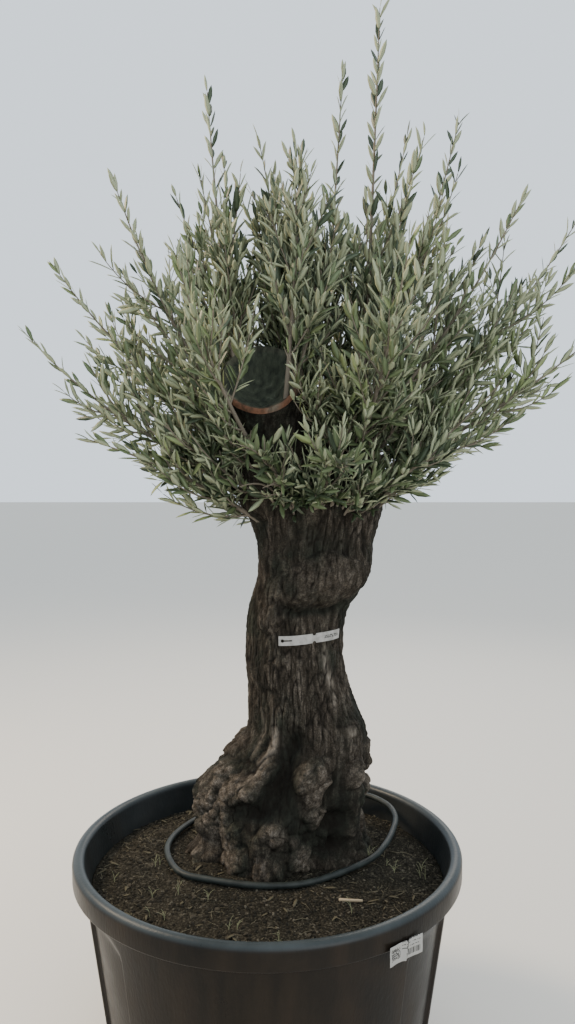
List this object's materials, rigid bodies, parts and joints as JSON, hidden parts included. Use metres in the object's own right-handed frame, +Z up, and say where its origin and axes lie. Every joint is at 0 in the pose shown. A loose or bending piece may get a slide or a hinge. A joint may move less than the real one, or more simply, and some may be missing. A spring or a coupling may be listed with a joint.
{
  "type": "potted olive bonsai",
  "caption": "Old olive tree kept as a giant bonsai: a thick, gnarled trunk with sawn limbs and loose ascending shoots of narrow leaves, in a round plastic nursery pot.",
  "frame": {"origin": "middle of the pot's flat underside", "axes": "+Z up, +X to the right of the tree's show side, +Y away from the show side"},
  "size_m": [1.5932, 1.2459, 2.87],
  "materials": {
    "pot": "dusty dark grey polyethylene",
    "soil": "rough",
    "bark": "deeply furrowed bark",
    "leaves": "leathery, silvery underneath",
    "tag": "smooth",
    "dripline": "satin"
  },
  "bodies": {
    "root": {"pot": "pot", "soil": "soil", "trunk": "bark", "bough_left": "bark", "bough_right": "bark", "bough_back": "bark", "shoots_left_low": "leaves", "shoots_left_mid": "leaves", "shoots_left_high": "leaves", "shoots_left_skirt": "leaves", "shoots_top_left": "leaves", "shoots_top_front": "leaves", "shoots_top_back": "leaves", "shoots_top_middle": "leaves", "shoots_leader": "leaves", "shoots_top_right": "leaves", "shoots_right_high": "leaves", "shoots_right_mid": "leaves", "shoots_right_low": "leaves", "shoots_right_skirt": "leaves", "shoots_front_left": "leaves", "shoots_front_right": "leaves", "shoots_front_skirt": "leaves", "shoots_front_low": "leaves", "shoots_back_left": "leaves", "shoots_back_right": "leaves", "shoots_back_high": "leaves", "shoots_back_skirt": "leaves", "tag": "tag", "dripline": "dripline", "dripline_joiner": "dripline"}
  },
  "joints": []
}
